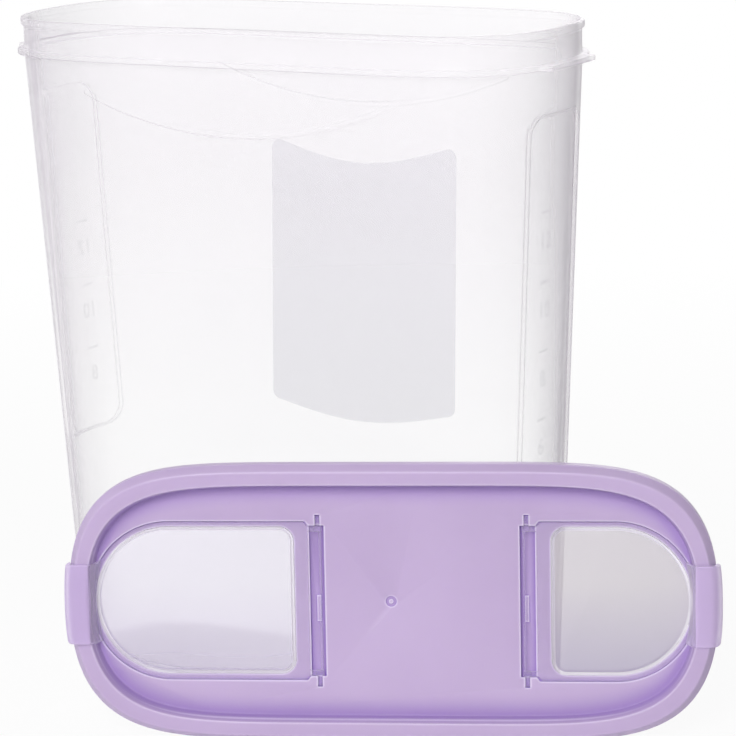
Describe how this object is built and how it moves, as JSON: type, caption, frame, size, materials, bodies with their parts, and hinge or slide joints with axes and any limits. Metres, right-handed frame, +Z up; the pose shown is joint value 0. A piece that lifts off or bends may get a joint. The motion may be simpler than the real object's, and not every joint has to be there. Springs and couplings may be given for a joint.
{
  "type": "cereal container",
  "caption": "Tall tapered translucent bin with a flanged rim, and a lilac ridged lid with two clear flip flaps, taken off and leaning on it.",
  "frame": {"origin": "centre of the bin's flat base, on the surface it stands on", "axes": "+X along the bin's long side towards the small flap's end, -Y out of the bin's front, where the lid leans, +Z up"},
  "size_m": [0.3157, 0.1689, 0.2771],
  "materials": {
    "clear_pp": "translucent natural polypropylene, satin",
    "lilac_pp": "satin moulded polypropylene",
    "flap_pp": "frosted translucent polypropylene",
    "label_film": "bare pale film"
  },
  "bodies": {
    "bin": {"bin": "clear_pp", "back_label": "label_film"},
    "lid": {"lid": "lilac_pp"},
    "pour_flap": {"pour_flap": "flap_pp"},
    "small_flap": {"small_flap": "flap_pp"}
  },
  "joints": [
    {"name": "lid_lift", "type": "slide", "parent": "bin", "child": "lid", "axis": [0.0728, -0.1576, 0.9848], "range_m": [0, 0.25]},
    {"name": "pour_flap_hinge", "type": "hinge", "parent": "lid", "child": "pour_flap", "pos_m": [0.04417, -0.06744, 0.05543], "axis": [-0.0344, 0.0744, 0.9966], "range_deg": [0, 110]},
    {"name": "small_flap_hinge", "type": "hinge", "parent": "lid", "child": "small_flap", "pos_m": [0.11861, -0.03305, 0.05543], "axis": [0.0344, -0.0744, -0.9966], "range_deg": [0, 110]}
  ]
}
